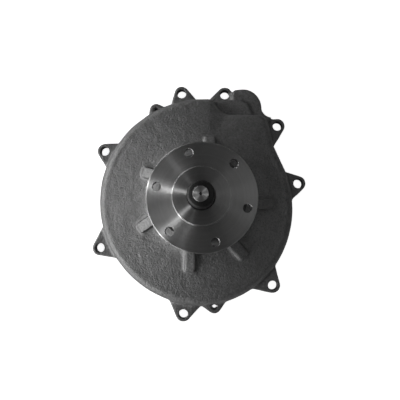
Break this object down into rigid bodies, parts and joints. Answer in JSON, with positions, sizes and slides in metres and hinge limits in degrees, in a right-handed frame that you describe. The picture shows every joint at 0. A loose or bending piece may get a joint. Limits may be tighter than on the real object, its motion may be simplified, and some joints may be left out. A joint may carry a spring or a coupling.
{
  "type": "water pump",
  "caption": "Engine coolant pump: round ribbed cast housing with bolt ears and side outlet, shaft on ball bearings, vaned impeller, and drilled hub flange for a fan or pulley.",
  "frame": {"origin": "centre of the housing's footprint on the plane of the rear mounting face; the shaft axis is 4.18 mm along +X and 0.2 mm along +Y from it", "axes": "+Z along the shaft from the mounting face towards the hub flange and the shaft nose; +Y towards the pair of ears beside the outlet lobe; +X to the right as seen from the nose with +Y up"},
  "size_m": [0.2082, 0.2308, 0.1132],
  "materials": {
    "cast_iron_housing": "as-cast, fine sand grain, satin dark grey",
    "cast_iron_impeller": "as-cast, dark grey",
    "turned_steel": "face-turned, fine concentric tool marks",
    "dark_shaft_steel": "black oxide with a bright faced end",
    "bearing_steel": "ground and polished",
    "spring_steel": "dark spring steel",
    "cage_nylon": "moulded nylon",
    "black_rubber": "matt black rubber",
    "seal_brass": "pressed brass",
    "carbon_graphite": "lapped carbon graphite",
    "ceramic": "lapped ceramic"
  },
  "bodies": {
    "housing": {"pump_housing": "cast_iron_housing", "upper_spring_dowel": "spring_steel", "lower_spring_dowel": "spring_steel", "bearing_sleeve": "bearing_steel", "rear_bearing_seal": "black_rubber", "front_bearing_seal": "black_rubber", "seal_cup": "seal_brass", "seal_bellows": "black_rubber", "seal_spring": "spring_steel"},
    "rotor": {"drive_shaft": "dark_shaft_steel", "hub_flange": "turned_steel", "slinger": "black_rubber", "seal_seat": "ceramic", "seal_seat_boot": "black_rubber", "impeller": "cast_iron_impeller"},
    "rear_ball_row": {"rear_ball_cage": "cage_nylon", "rear_ball_1": "bearing_steel", "rear_ball_2": "bearing_steel", "rear_ball_3": "bearing_steel", "rear_ball_4": "bearing_steel", "rear_ball_5": "bearing_steel", "rear_ball_6": "bearing_steel", "rear_ball_7": "bearing_steel", "rear_ball_8": "bearing_steel"},
    "front_ball_row": {"front_ball_cage": "cage_nylon", "front_ball_1": "bearing_steel", "front_ball_2": "bearing_steel", "front_ball_3": "bearing_steel", "front_ball_4": "bearing_steel", "front_ball_5": "bearing_steel", "front_ball_6": "bearing_steel", "front_ball_7": "bearing_steel", "front_ball_8": "bearing_steel"},
    "seal_face": {"seal_carbon_ring": "carbon_graphite", "seal_spring_retainer": "seal_brass"}
  },
  "joints": [
    {"name": "shaft_spin", "type": "hinge", "parent": "housing", "child": "rotor", "pos_m": [0.00418, 0.0002, 0.048], "axis": [0, 0, 1], "continuous": true},
    {"name": "rear_row_orbit", "type": "hinge", "parent": "housing", "child": "rear_ball_row", "pos_m": [0.00418, 0.0002, 0.0426], "axis": [0, 0, 1], "continuous": true},
    {"name": "front_row_orbit", "type": "hinge", "parent": "housing", "child": "front_ball_row", "pos_m": [0.00418, 0.0002, 0.0544], "axis": [0, 0, 1], "continuous": true},
    {"name": "seal_face_float", "type": "slide", "parent": "housing", "child": "seal_face", "axis": [0, 0, 1], "range_m": [0, 0.0008], "stiffness_N_per_m": 2000, "deforming": ["seal_bellows", "seal_spring"]}
  ],
  "couplings": [
    {"joint": "rear_row_orbit", "follows": "shaft_spin", "ratio": 0.3935},
    {"joint": "front_row_orbit", "follows": "shaft_spin", "ratio": 0.3935}
  ]
}
